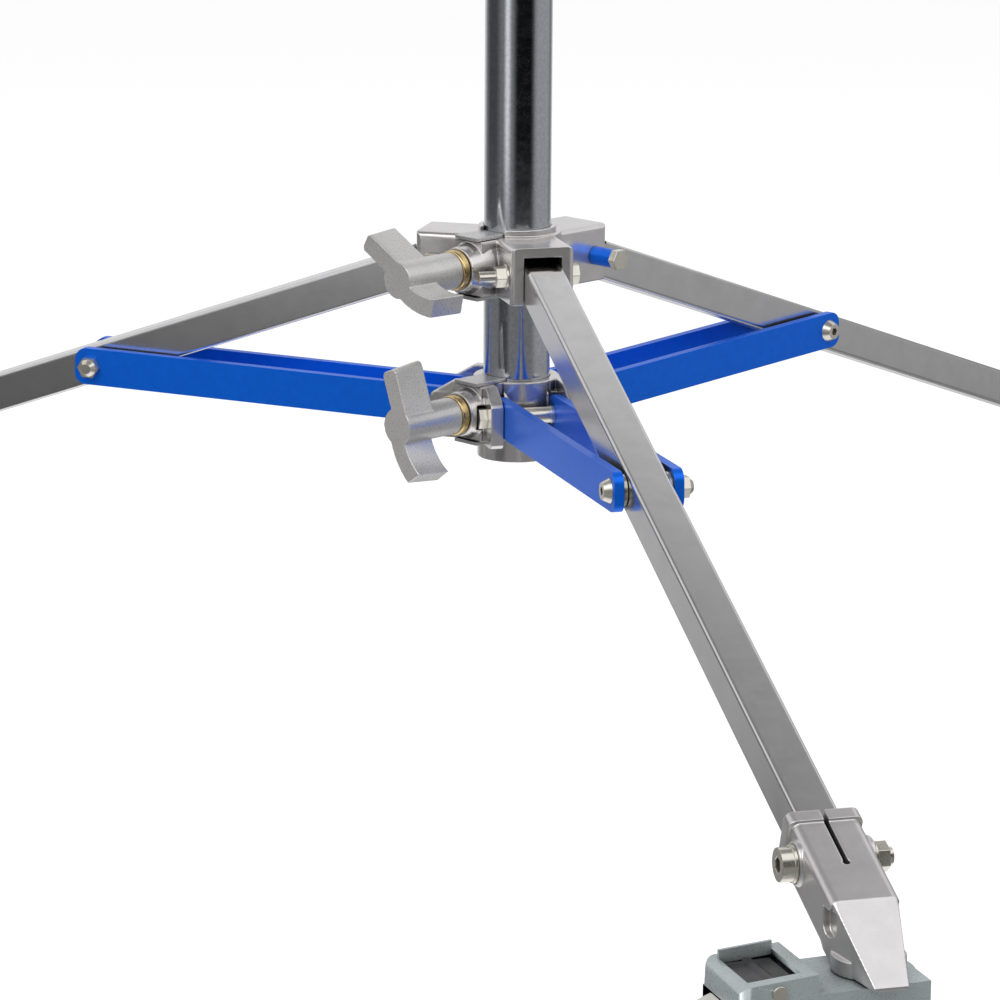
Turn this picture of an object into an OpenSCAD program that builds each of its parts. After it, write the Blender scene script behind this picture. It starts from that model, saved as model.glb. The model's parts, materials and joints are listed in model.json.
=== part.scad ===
// Wheeled studio light stand, lower frame spread and risers collapsed.
// Millimetres, +Z up. The origin is the point on the floor under the column's axis.
// The front leg runs along -Y and the other two follow at thirds of a turn.

/* [Column and risers] */
// Outside diameter of the column tube
column_d = 45; // [40:0.5:50]
// Wall of the column tube
column_wall = 2; // [1.5:0.1:3]
// Length of the column tube
column_length = 820; // [800:5:900]
// Outside diameter of the first riser
riser_1_d = 38; // [36:0.5:39]
// Wall of the first riser
riser_1_wall = 2; // [1.5:0.1:2.5]
// Outside diameter of the second riser
riser_2_d = 31; // [28:0.5:32]
// Wall of the second riser
riser_2_wall = 2; // [1.5:0.1:2.5]
// Length of the riser showing above each clamp head when collapsed
riser_show = 12; // [8:1:30]
// Height of a clamp head
head_h = 62; // [50:1:80]
// Wall of a clamp head around its tube
head_wall = 6; // [4:0.5:8]
// Bore of the top receiver
receiver_bore_d = 28.7; // [28:0.1:29.5]
// Depth of the top receiver's bore
receiver_depth = 72; // [50:1:90]
// Wall of the top receiver
receiver_wall = 6; // [5:0.5:9]

/* [Frame layout] */
// Height of the leg pivots above the floor
leg_pivot_z = 400; // [380:1:430]
// Distance of the leg pivots from the column's axis
leg_pivot_r = 53; // [50:0.5:56]
// Slope of the spread legs below level
leg_slope = 19.4; // [15:0.1:25]
// Height of the brace pivots below the leg pivots
pivot_drop = 98.2; // [85:0.1:115]
// Distance of the brace pivots from the column's axis
brace_pivot_r = 37; // [35:0.5:40]
// Distance along the leg from its pivot to the brace bolt
brace_bolt_s = 260; // [230:1:290]
// Direction of the clamp screws, seen from above
screw_turn = -150; // [-155:1:-145]

/* [Collars] */
// Outside diameter of both sleeves
sleeve_d = 58; // [56:0.5:62]
// Height of both collar castings
collar_h = 38.5; // [35:0.5:45]
// Height of the casting's top above the pivots
collar_rise = 20.5; // [18:0.5:24]
// Height of the round rim on the leg collar
rim_h = 4.5; // [2:0.5:8]
// Outside diameter of the round rim and of the skirt
rim_d = 52.5; // [50:0.5:55]
// Depth of the skirt under the brace collar
skirt_h = 17; // [10:1:25]
// Width of an arm of the leg collar
arm_w = 43; // [40:0.5:48]
// Reach of an arm from the column's axis
arm_reach = 65; // [60:1:75]
// Width of the slot for the leg
arm_slot_w = 26; // [25.8:0.1:28]
// Thickness of an arm's roof
arm_roof = 4.2; // [3:0.2:6]
// Height of the lip at the mouth of an arm, its roof included
arm_lip = 6.8; // [4.4:0.2:8]
// Thickness of an ear of the brace collar
ear_t = 8.6; // [6:0.2:10]
// Reach of an ear from the column's axis
ear_reach = 52; // [50:0.5:56]
// Height of an ear above its pivot
ear_rise = 12.4; // [11:0.2:14]
// Depth of an ear below its pivot
ear_drop = 19; // [16:0.5:22]

/* [Clamp screws and handles] */
// Outside diameter of the clamp boss
boss_d = 37; // [34:0.5:40]
// Reach of the clamp boss from the column's axis
boss_reach = 56; // [54:0.5:58]
// Diameter of the clamp screw
screw_d = 10; // [8:0.5:12]
// Diameter of the brass ring
ring_d = 27; // [22:0.5:30]
// Thickness of the brass ring
ring_t = 6; // [3:0.5:8]
// Length of a handle from tip to tip
handle_span = 88; // [70:1:100]
// Width of a handle's wings
handle_w = 25; // [18:0.5:30]
// Thickness of a handle's wings
handle_t = 14; // [10:0.5:18]
// Forward sweep of a handle's wings at their tips
handle_sweep = 20; // [12:1:25]
// Thickness of the clamp shoe
shoe_t = 2.5; // [1.5:0.1:3]
// Width of the clamp shoe
shoe_w = 21.5; // [16:0.5:24]
// Reach of the shoe's folded tabs from the column's axis
shoe_reach = 48; // [42:0.5:52]

/* [Legs and braces] */
// Side of the square leg tube
leg_side = 25.4; // [24:0.1:25.6]
// Wall of the leg tube
leg_wall = 2; // [1.5:0.1:3]
// Corner radius of the leg tube
leg_corner = 2.5; // [2.2:0.1:4]
// Distance along the leg from its pivot to its outer end
leg_length = 674; // [650:1:690]
// Diameter of the pivot bolts
bolt_d = 8; // [7:0.5:9]
// Outside diameter of the crush sleeves in the leg
bush_d = 12; // [11.5:0.1:13]
// Width of a brace bar
bar_w = 25.4; // [22:0.1:26]
// Thickness of a brace bar
bar_t = 6.3; // [5:0.1:6.4]
// Corner radius at a brace bar's ends
bar_corner = 8; // [4:0.5:10]
// Length of a brace bar beyond each bolt
bar_overhang = 11; // [10:0.5:12]
// Thickness of the washers beside the leg
washer_t = 2.8; // [2:0.1:3.2]
// Diameter of the washers beside the leg
washer_d = 20; // [16:0.5:22]
// Length of the blue spacer on one leg pivot
spacer_l = 19; // [10:0.5:25]
// Diameter of the blue spacer
spacer_d = 12.5; // [12:0.1:14]

/* [Foot castings] */
// Distance along the leg from its pivot to the casting's mouth
foot_s = 607; // [600:1:615]
// Length of the casting's flat top
foot_flat = 76; // [70:1:85]
// Thickness of the casting's top
foot_top_t = 4.4; // [3:0.2:6]
// Thickness of the casting's sides
foot_side_t = 7; // [5:0.2:9]
// Depth of the casting's sides below the leg's axis
foot_side_depth = 15; // [14.2:0.1:15.4]
// Length of the raised rim at the mouth
foot_rim_l = 9; // [6:0.5:12]
// Height of the raised rim
foot_rim_h = 1.6; // [1:0.2:3]
// Length of the clamp slit
foot_slit_l = 44; // [35:1:50]
// Width of the clamp slit
foot_slit_w = 2.6; // [2:0.2:4]
// Distance along the leg from the mouth to the cross bolt
foot_bolt_s = 25; // [20:1:35]
// Diameter of the cross bolt's head
foot_head_d = 19; // [15:0.5:20]
// Reach of the nose beyond the casting's bend
nose_reach = 43; // [35:1:46]
// Width of the nose at its tip
nose_tip_w = 19; // [14:0.5:24]
// Diameter of the caster socket
socket_d = 40; // [36:0.5:42]

/* [Casters] */
// Diameter of the wheel
wheel_d = 150; // [140:1:155]
// Width of the tyre
tyre_w = 38; // [30:1:40]
// Distance from the swivel axis to the axle
caster_trail = 60; // [56:1:64]
// Turn of the casters about their swivels, measured from the leg
caster_turn = -85; // [-180:1:180]
// Height of the caster's top above the floor
caster_h = 153; // [152:0.5:158]
// Distance of the swivel axis from the column's axis
swivel_r = 710; // [705:1:715]
// Thickness of the pressed steel of the fork
fork_t = 3; // [2.5:0.1:4]
// Diameter of the axle
axle_d = 10; // [8:0.5:12]

/* [Hidden] */
$fn = 64;
running = 0.05;
apart = 0.35;
seat = 0.02;
cut = 1;
third = 120;
front_turn = -90;
hex_sides = 6;
across_corners = 2 / sqrt(3);

column_r = column_d / 2;
collar_base = collar_rise - collar_h;
screw_rise = collar_rise - collar_h / 2;
bore_d = column_d + 2 * running;
brace_pivot_z = leg_pivot_z - pivot_drop;
column_base = brace_pivot_z + collar_base - skirt_h + 2;
column_top = column_base + column_length;
plug_rim = 4;
plug_h = 20;
head_drop = head_h * 0.55;
riser_step = head_h + riser_show;
riser_1_base = column_base + 45;
riser_1_top = column_top + riser_step;
riser_2_base = riser_1_base + 45;
riser_2_top = riser_1_top + riser_step;
receiver_floor = 5;
receiver_d = receiver_bore_d + 2 * receiver_wall;
receiver_screw_z = riser_2_top + receiver_floor + receiver_depth / 2;
receiver_reach = receiver_d / 2 + 12;
head_boss_d = boss_d - 10;
head_boss_l = 14;
screw_seat = 10;

boss_root = column_r - 2;
boss_pad_w = 26;
tab_recess = 0.5;
pad_inset = 0.1;
boss_cone = 38;
boss_end_d = 29;
handle_hub_d = 25;
handle_hub_l = 18;
handle_steps = 14;
handle_curve = 4;
leg_handle_turn = -29;
brace_handle_turn = -70;
shoe_in = column_r + apart;
shoe_out = shoe_in + shoe_t;
screw_tip = shoe_out + apart;

nut_flats = 13;
nut_h = 6.5;
bolt_head_h = 5.5;
bolt_tail = 3;
bolt_washer_t = 1.6;
bolt_washer_d = 17;
long_tails = [8, 0, 8];

leg_half = leg_side / 2;
leg_inner_r = 15.2;
arm_slot_in = leg_pivot_r - leg_inner_r - 4;
arm_lip_l = 5;
arm_round = 4;
arm_step = 0.2;
bar_in = leg_half + apart + washer_t;
bar_out = bar_in + bar_t;
bar_sleeve_d = 11;
ear_in = bar_out + apart;
ear_out = ear_in + ear_t;
ear_round = 5;
spot_d = 16.5;
spot_l = bolt_head_h + 0.5;
bar_swing = norm([bar_overhang - bar_corner, bar_w / 2 - bar_corner]) + bar_corner;

brace_dx = leg_pivot_r + brace_bolt_s * cos(leg_slope) - brace_pivot_r;
brace_dz = pivot_drop - brace_bolt_s * sin(leg_slope);
brace_length = norm([brace_dx, brace_dz]);
brace_rise = atan2(brace_dz, brace_dx);

fit = 0.05;
foot_top = leg_half + fit + foot_top_t;
foot_half = leg_half + fit + foot_side_t;
foot_round = 5;
foot_boss_d = 24;
foot_boss_h = 2;
foot_bolt_u = 3;
foot_bolt_d = 10;
foot_end = foot_s + foot_flat;
bend_r = leg_pivot_r + foot_end * cos(leg_slope) + foot_top * sin(leg_slope);
bend_z = leg_pivot_z - foot_end * sin(leg_slope) + foot_top * cos(leg_slope);
heel_r = leg_pivot_r + foot_end * cos(leg_slope) - foot_side_depth * sin(leg_slope);
heel_z = leg_pivot_z - foot_end * sin(leg_slope) - foot_side_depth * cos(leg_slope);
socket_z = caster_h + apart;
socket_h = 9;
nose_r = bend_r + nose_reach;
nose_z = socket_z + 2.5;
nose_slope = atan2(bend_z - nose_z, nose_reach);
nose_half = foot_half - 0.4;
nose_step = 0.3;
nose_taper_back = 6;
slit_end_d = 4;
pocket_d = 15;
pocket_deep = 4;
pocket_back = 3;
pocket_rise = 23;
stem_d = 16;
stem_h = 24;

wheel_r = wheel_d / 2;
tyre_round = 9;
hub_r = 56;
hub_rim_w = 32;
hub_web_w = 8;
hub_boss_r = 17;
hub_ribs = 6;
hub_rib_t = 4;
crown_d = 50;
crown_h = 6;
crown_z = caster_h - crown_h;
fork_in = tyre_w / 2 + 4;
fork_out = fork_in + fork_t;
fork_back = -24;
fork_step = 40;
fork_end = 84;
fork_boss_d = 30;
hood_z = caster_h + 11;
hood_tab_h = 4.5;
hood_tab_t = 2;
hood_hole_x = 47;
hood_hole_l = 30;
hood_hole_w = 38;
pedal_x = 62;
pedal_z = caster_h + 3.5;
pedal_pin_d = 5;
pedal_barrel_d = 9;
pedal_l = 26;
pedal_w = 34;
pedal_t = 3;

function handle_bow(y) = handle_curve * sin(180 * y / (handle_span / 2));
function handle_half(y) = handle_w / 2 * pow(1 - pow(abs(y) / (handle_span / 2), 8), 0.3);

// Frames: x runs outward, y across and z up in each of them.
module on_third(k) {
    rotate([0, 0, front_turn + third * k]) children();
}

module on_leg(k) {
    on_third(k) translate([leg_pivot_r, 0, leg_pivot_z]) rotate([0, leg_slope, 0]) children();
}

module on_brace(k) {
    on_third(k) translate([brace_pivot_r, 0, brace_pivot_z]) rotate([0, -brace_rise, 0]) children();
}

module on_caster(k) {
    on_third(k) translate([swivel_r, 0, 0]) rotate([0, 0, caster_turn]) children();
}

module on_screw(z) {
    translate([0, 0, z]) rotate([0, 0, screw_turn]) children();
}

// Round bars and blocks along the local axes.
module across(d, y0, y1, fn = 64) {
    translate([0, y0, 0]) rotate([-90, 0, 0]) cylinder(d = d, h = y1 - y0, $fn = fn);
}

module outward(d, x0, x1) {
    translate([x0, 0, 0]) rotate([0, 90, 0]) cylinder(d = d, h = x1 - x0);
}

module cone_out(d0, d1, x0, x1) {
    translate([x0, 0, 0]) rotate([0, 90, 0]) cylinder(d1 = d0, d2 = d1, h = x1 - x0);
}

module block(x, y, z) {
    translate([x[0], y[0], z[0]]) cube([x[1] - x[0], y[1] - y[0], z[1] - z[0]]);
}

module hex_across(flats, y0, y1) {
    across(flats * across_corners, y0, y1, hex_sides);
}

module ring(outer, inner, z0, z1) {
    translate([0, 0, z0]) difference() {
        cylinder(d = outer, h = z1 - z0);
        translate([0, 0, -cut]) cylinder(d = inner, h = z1 - z0 + 2 * cut);
    }
}

module round_rect(w, h, r) {
    square([w - 2 * r, h], center = true);
    square([w, h - 2 * r], center = true);
    for (x = [-1, 1], y = [-1, 1])
        translate([x * (w / 2 - r), y * (h / 2 - r)]) circle(r);
}

// A section drawn in y and z, pushed along x.
module push_x(x0, x1) {
    translate([x0, 0, 0]) rotate([90, 0, 90]) linear_extrude(x1 - x0) children();
}

// A side view drawn in x and z, pushed along y.
module push_y(y0, y1) {
    translate([0, y1, 0]) rotate([90, 0, 0]) linear_extrude(y1 - y0) children();
}

// Collars. Both are drawn with their pivots at height zero.
module clamp_boss() {
    outward(boss_d, boss_root, boss_cone);
    cone_out(boss_d, boss_end_d, boss_cone, boss_reach);
}

module boss_on_collar() {
    pad_z = [collar_base + tab_recess + pad_inset, collar_rise - tab_recess - pad_inset];
    on_screw(0) {
        translate([0, 0, screw_rise]) clamp_boss();
        block([boss_root, shoe_reach - 2], [-boss_pad_w / 2, boss_pad_w / 2], pad_z);
    }
}

module collar_openings(top, bottom) {
    translate([0, 0, bottom - cut]) cylinder(d = bore_d, h = top - bottom + 2 * cut);
    on_screw(0) {
        translate([0, 0, screw_rise]) outward(screw_d + 2 * running, column_r, boss_reach + cut);
        shoe_side = shoe_w / 2 + apart;
        block([0, screw_tip], [-shoe_side, shoe_side], [bottom - cut, top + cut]);
        block([0, shoe_reach + cut], [-shoe_side, shoe_side], [collar_rise - tab_recess, top + cut]);
        block([0, shoe_reach + cut], [-shoe_side, shoe_side], [bottom - cut, collar_base + tab_recess]);
    }
}

module arm_section() {
    base = collar_base + arm_step;
    h = collar_rise - base;
    translate([0, base + h / 2]) round_rect(arm_w, h, arm_round);
    translate([-arm_w / 2, base]) square([arm_w, h / 2]);
}

module arm_body() {
    intersection() {
        push_x(0, arm_reach) arm_section();
        translate([0, 0, collar_base - cut]) linear_extrude(collar_h + 2 * cut) {
            translate([arm_reach / 2, 0]) round_rect(arm_reach, arm_w, arm_round);
            translate([0, -arm_w / 2]) square([arm_reach / 2, arm_w]);
        }
    }
}

module arm_opening() {
    slot = [-arm_slot_w / 2, arm_slot_w / 2];
    block([arm_slot_in, arm_reach - arm_lip_l], slot, [collar_base - cut, collar_rise - arm_roof]);
    block([arm_slot_in, arm_reach + cut], slot, [collar_base - cut, collar_rise - arm_lip]);
    translate([leg_pivot_r, 0, 0]) across(bolt_d + 2 * fit, -arm_w, arm_w);
}

module leg_collar() {
    color("silver") translate([0, 0, leg_pivot_z]) difference() {
        union() {
            translate([0, 0, collar_base]) cylinder(d = sleeve_d, h = collar_h);
            cylinder(d = rim_d, h = collar_rise + rim_h);
            for (k = [0:2]) on_third(k) arm_body();
            boss_on_collar();
        }
        collar_openings(collar_rise + rim_h, collar_base);
        for (k = [0:2]) on_third(k) arm_opening();
    }
}

module ears_plan() {
    for (k = [0:2], side = [-1, 1])
        rotate([0, 0, front_turn + third * k]) translate([0, side > 0 ? ear_in : -ear_out])
            square([ear_reach, ear_t]);
}

// What is cut from the upper and the lower corner of an ear to round it.
module ear_corners() {
    x = ear_reach - ear_round;
    for (end = [[ear_rise - ear_round, 0], [ear_round - ear_drop, -90]])
        push_y(-ear_out - cut, ear_out + cut) translate([x, end[0]]) rotate([0, 0, end[1]]) difference() {
            square([ear_round + cut, ear_round + cut]);
            circle(ear_round + apart);
        }
}

// Room for one brace bar to turn from level to upright.
module bar_room(side) {
    y = [bar_in - apart, bar_out + apart] * side;
    room = bar_swing + apart;
    push_y(min(y), max(y)) translate([brace_pivot_r, 0]) {
        circle(room);
        translate([-room, 0]) square([2 * room, collar_rise + cut]);
    }
}

module brace_collar() {
    skirt_base = collar_base - skirt_h;
    color("silver") translate([0, 0, brace_pivot_z]) difference() {
        union() {
            translate([0, 0, collar_base]) cylinder(d = sleeve_d, h = collar_h);
            translate([0, 0, skirt_base]) cylinder(d = rim_d, h = skirt_h + cut);
            translate([0, 0, -ear_drop]) linear_extrude(ear_rise + ear_drop) ears_plan();
            boss_on_collar();
        }
        collar_openings(collar_rise, skirt_base);
        for (k = [0:2]) on_third(k) {
            ear_corners();
            for (side = [-1, 1]) bar_room(side);
            translate([brace_pivot_r, 0, 0]) {
                across(bolt_d + 2 * fit, -ear_out - cut, ear_out + cut);
                across(spot_d, -ear_out - spot_l, -ear_out);
                across(spot_d, ear_out, ear_out + spot_l);
            }
        }
    }
}

module clamp_shoe(z) {
    half = shoe_w / 2;
    top = collar_rise - tab_recess;
    bottom = collar_base + tab_recess;
    color("lightgray") on_screw(z) difference() {
        union() {
            block([shoe_in - 5, shoe_out], [-half, half], [bottom - seat - shoe_t, top + seat + shoe_t]);
            block([shoe_in, shoe_reach], [-half, half], [top + seat, top + seat + shoe_t]);
            block([shoe_in, shoe_reach], [-half, half], [bottom - seat - shoe_t, bottom - seat]);
        }
        translate([0, 0, bottom - 2 * shoe_t]) cylinder(r = shoe_in, h = top - bottom + 4 * shoe_t);
    }
}

// Through bolts with a plain hex head. The tail has a washer and a nut, and points to the side given.
module pivot_bolt(grip, tail_side, tail, spacer) {
    head = -tail_side;
    head_y = [grip + spacer + seat, grip + spacer + seat + bolt_head_h] * head;
    washer_y = [grip + seat, grip + seat + bolt_washer_t] * tail_side;
    nut_y = [washer_y[1], washer_y[1] + nut_h * tail_side];
    bolt_y = [head_y[0], (grip + tail) * tail_side];
    across(bolt_d, min(bolt_y), max(bolt_y), 40);
    hex_across(nut_flats, min(head_y), max(head_y));
    across(bolt_washer_d, min(washer_y), max(washer_y), 40);
    hex_across(nut_flats, min(nut_y), max(nut_y));
}

module leg_pivot_bolts() {
    tails = [-1, 1, -1];
    spacers = [0, spacer_l, 0];
    tail = bolt_washer_t + nut_h + bolt_tail;
    color("gainsboro") for (k = [0:2]) on_third(k) translate([leg_pivot_r, 0, leg_pivot_z])
        pivot_bolt(arm_w / 2, tails[k], tail + long_tails[k], spacers[k]);
}

module pivot_spacer() {
    color("royalblue") on_third(1) translate([leg_pivot_r, 0, leg_pivot_z]) difference() {
        across(spacer_d, -arm_w / 2 - spacer_l + seat, -arm_w / 2 - seat, 40);
        across(bolt_d + 2 * fit, -arm_w / 2 - spacer_l - cut, -arm_w / 2 + cut, 40);
    }
}

module brace_pivot_bolts() {
    tails = [1, 1, -1];
    color("gainsboro") for (k = [0:2]) on_third(k) translate([brace_pivot_r, 0, brace_pivot_z])
        pivot_bolt(ear_out, tails[k], bolt_washer_t + nut_h + bolt_tail, 0);
}

// Clamp screws with their brass rings, and the cast handles on them.
module handle_screw(z, reach, tip) {
    base = reach + apart;
    bevel = 1;
    color("darkkhaki") on_screw(z) {
        outward(screw_d, tip, base + ring_t + screw_seat);
        cone_out(ring_d - 2 * bevel, ring_d, base, base + bevel);
        outward(ring_d, base + bevel, base + ring_t - bevel);
        cone_out(ring_d, ring_d - 2 * bevel, base + ring_t - bevel, base + ring_t);
    }
}

module handle_outline() {
    half = handle_span / 2;
    along = [for (i = [0:handle_steps]) half * (2 * i / handle_steps - 1)];
    back = [for (i = [1:handle_steps - 1]) along[handle_steps - i]];
    upper = [for (y = along) [y, handle_bow(y) + handle_half(y)]];
    lower = [for (y = back) [y, handle_bow(y) - handle_half(y)]];
    polygon(concat(upper, lower));
}

module handle_profile() {
    half = handle_span / 2;
    root = handle_hub_d / 2;
    tip = handle_sweep + handle_t;
    polygon([
        [-half, handle_sweep], [-root, 0], [root, 0], [half, handle_sweep],
        [half, tip], [root, handle_hub_l], [-root, handle_hub_l], [-half, tip]
    ]);
}

module t_handle(z, reach, turn) {
    tall = handle_sweep + handle_t + cut;
    base = reach + apart + ring_t + seat;
    color("silver") on_screw(z) translate([base, 0, 0]) rotate([turn, 0, 0]) difference() {
        union() {
            intersection() {
                push_x(0, tall) handle_outline();
                rotate([0, 0, 90]) mirror([0, 1, 0]) translate([0, 0, -handle_w])
                    linear_extrude(2 * handle_w) handle_profile();
            }
            outward(handle_hub_d, 0, handle_hub_l);
        }
        outward(screw_d + 2 * fit, -cut, screw_seat + apart);
    }
}

module brace_collar_shoe() {
    clamp_shoe(brace_pivot_z);
}

module leg_collar_shoe() {
    clamp_shoe(leg_pivot_z);
}

module brace_handle_screw() {
    handle_screw(brace_pivot_z + screw_rise, boss_reach, screw_tip);
}

module leg_handle_screw() {
    handle_screw(leg_pivot_z + screw_rise, boss_reach, screw_tip);
}

module brace_t_handle() {
    t_handle(brace_pivot_z + screw_rise, boss_reach, brace_handle_turn);
}

module leg_t_handle() {
    t_handle(leg_pivot_z + screw_rise, boss_reach, leg_handle_turn);
}

// Column, risers and their clamp heads.
module plug(tube_d, wall, guide_d, base) {
    cylinder_d = tube_d - 2 * wall - 2 * seat;
    color("dimgray") translate([0, 0, base]) {
        translate([0, 0, -plug_rim]) cylinder(d = guide_d, h = plug_rim - seat);
        translate([0, 0, -cut]) cylinder(d = cylinder_d, h = plug_h);
    }
}

function head_reach(d) = d / 2 + head_wall + head_boss_l;

// The head sits over the end of one tube and clamps the next one.
module clamp_head(tube_d, inner_d, tube_top) {
    outer = tube_d + 2 * head_wall;
    above = head_h - head_drop;
    bevel = 3;
    color("silver") translate([0, 0, tube_top]) difference() {
        union() {
            translate([0, 0, -head_drop]) cylinder(d = outer - bevel, h = head_drop);
            translate([0, 0, -head_drop / 2]) cylinder(d = outer, h = head_drop / 2 + above - bevel);
            translate([0, 0, above - bevel]) cylinder(d1 = outer, d2 = outer - 2 * bevel, h = bevel);
            on_screw(above / 2 - bevel / 2) outward(head_boss_d, 0, head_reach(tube_d));
        }
        translate([0, 0, -head_drop - cut]) cylinder(d = tube_d + 2 * seat, h = head_drop + cut + seat);
        cylinder(d = inner_d + 2 * running, h = above + cut);
        on_screw(above / 2 - bevel / 2) outward(screw_d + 2 * running, 0, head_reach(tube_d) + cut);
    }
}

function head_screw_z(tube_top) = tube_top + (head_h - head_drop) / 2 - 1.5;

module column_tube() {
    color("lightgray") ring(column_d, column_d - 2 * column_wall, column_base, column_top);
}

module column_foot_plug() {
    plug(column_d, column_wall, column_d, column_base);
}

module column_head() {
    clamp_head(column_d, riser_1_d, column_top);
}

module column_handle_screw() {
    handle_screw(head_screw_z(column_top), head_reach(column_d), riser_1_d / 2 + apart);
}

module column_t_handle() {
    t_handle(head_screw_z(column_top), head_reach(column_d), -50);
}

module riser_1_tube() {
    color("lightgray") ring(riser_1_d, riser_1_d - 2 * riser_1_wall, riser_1_base, riser_1_top);
}

module riser_1_plug() {
    plug(riser_1_d, riser_1_wall, column_d - 2 * column_wall - 2 * running, riser_1_base);
}

module riser_1_head() {
    clamp_head(riser_1_d, riser_2_d, riser_1_top);
}

module riser_1_handle_screw() {
    handle_screw(head_screw_z(riser_1_top), head_reach(riser_1_d), riser_2_d / 2 + apart);
}

module riser_1_t_handle() {
    t_handle(head_screw_z(riser_1_top), head_reach(riser_1_d), -20);
}

module riser_2_tube() {
    color("lightgray") ring(riser_2_d, riser_2_d - 2 * riser_2_wall, riser_2_base, riser_2_top);
}

module riser_2_plug() {
    plug(riser_2_d, riser_2_wall, riser_1_d - 2 * riser_1_wall - 2 * running, riser_2_base);
}

module receiver() {
    top = receiver_floor + receiver_depth;
    lower_d = riser_2_d + 2 * head_wall;
    bevel = 2;
    color("silver") translate([0, 0, riser_2_top]) difference() {
        union() {
            translate([0, 0, -head_drop]) cylinder(d = lower_d, h = head_drop + receiver_floor);
            cylinder(d = receiver_d, h = top - bevel);
            translate([0, 0, top - bevel])
                cylinder(d1 = receiver_d, d2 = receiver_d - 2 * bevel, h = bevel);
            translate([0, 0, top - 3 * bevel - 5]) cylinder(d = receiver_d + 2 * bevel, h = 5);
            on_screw(receiver_floor + receiver_depth / 2) outward(head_boss_d, 0, receiver_reach);
        }
        translate([0, 0, -head_drop - cut]) cylinder(d = riser_2_d + 2 * seat, h = head_drop + cut + seat);
        translate([0, 0, receiver_floor]) cylinder(d = receiver_bore_d, h = receiver_depth + cut);
        on_screw(receiver_floor + receiver_depth / 2)
            outward(screw_d + 2 * running, 0, receiver_reach + cut);
    }
}

module receiver_handle_screw() {
    handle_screw(receiver_screw_z, receiver_reach, receiver_bore_d / 2 + apart);
}

module receiver_t_handle() {
    t_handle(receiver_screw_z, receiver_reach, -35);
}

// Legs and feet.
module leg_tube(k) {
    inside = leg_side - 2 * leg_wall;
    color("gray") on_leg(k) difference() {
        intersection() {
            push_x(-leg_inner_r, leg_length) difference() {
                round_rect(leg_side, leg_side, leg_corner);
                round_rect(inside, inside, leg_corner - 1);
            }
            union() {
                across(2 * leg_inner_r, -leg_side, leg_side);
                block([0, leg_length + cut], [-leg_side, leg_side], [-leg_side, leg_side]);
            }
        }
        for (s = [0, brace_bolt_s])
            translate([s, 0, 0]) across(bush_d + 2 * seat, -leg_side, leg_side, 40);
        translate([foot_s + foot_bolt_s, 0, foot_bolt_u])
            across(foot_bolt_d + 2 * fit, -leg_side, leg_side, 40);
    }
}

// Crush sleeves flush with the leg's sides, and the foot's cross bolt.
module leg_fittings(k) {
    head_y = foot_half + foot_boss_h + seat;
    color("silver") on_leg(k) {
        for (s = [0, brace_bolt_s]) translate([s, 0, 0]) difference() {
            across(bush_d, -leg_half, leg_half, 40);
            across(bolt_d + 2 * running, -leg_side, leg_side, 40);
        }
        translate([foot_s + foot_bolt_s, 0, foot_bolt_u]) {
            across(foot_bolt_d, -head_y - 2, head_y + 12, 40);
            difference() {
                union() {
                    across(foot_head_d + 2, -head_y - 2, -head_y, 40);
                    across(foot_head_d, -head_y - 9, -head_y - 2, 40);
                }
                hex_across(8, -head_y - 10, -head_y - 4);
            }
            across(foot_head_d, head_y, head_y + 2, 40);
            hex_across(foot_head_d - 4, head_y + 2, head_y + 9);
        }
    }
}

module foot_section(grow) {
    wide = 2 * (foot_half + grow);
    tall = foot_top + grow + foot_side_depth;
    mid = (foot_top + grow - foot_side_depth) / 2;
    translate([0, mid]) round_rect(wide, tall, foot_round);
}

// Side view of the nose. It starts inside the part that is in line with the leg.
module nose_side() {
    inset = 0.3;
    deep = 5;
    polygon([
        [bend_r - inset, bend_z - deep], [bend_r - inset, bend_z + deep], [nose_r, nose_z + deep],
        [nose_r, socket_z + 2 * inset], [swivel_r, socket_z + 2 * inset],
        [heel_r, heel_z + inset], [heel_r - deep, heel_z + deep]
    ]);
}

// Plan of the nose's tapering sides.
module nose_plan() {
    taper = (nose_half - nose_tip_w / 2) / (nose_reach + nose_taper_back);
    back = 2 * nose_reach;
    wide = nose_tip_w / 2 + taper * back;
    polygon([
        [nose_r - back, -wide], [nose_r, -nose_tip_w / 2], [nose_r, nose_tip_w / 2], [nose_r - back, wide]
    ]);
}

module nose() {
    deep = 80;
    intersection() {
        push_y(-2 * nose_half, 2 * nose_half) nose_side();
        translate([0, 0, socket_z - cut]) linear_extrude(deep) nose_plan();
        translate([bend_r, 0, bend_z - nose_step]) rotate([0, nose_slope, 0])
            push_x(-deep, deep) translate([0, -deep / 2]) round_rect(2 * nose_half, deep, foot_round - 1);
    }
}

module side_pockets() {
    for (side = [-1, 1]) {
        y = [nose_half - pocket_deep, foot_half + cut] * side;
        push_y(min(y), max(y)) translate([bend_r - pocket_back, socket_z + pocket_rise]) {
            circle(d = pocket_d);
            translate([-pocket_d / 2, 0]) square([pocket_d, pocket_d / 2]);
        }
    }
}

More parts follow.
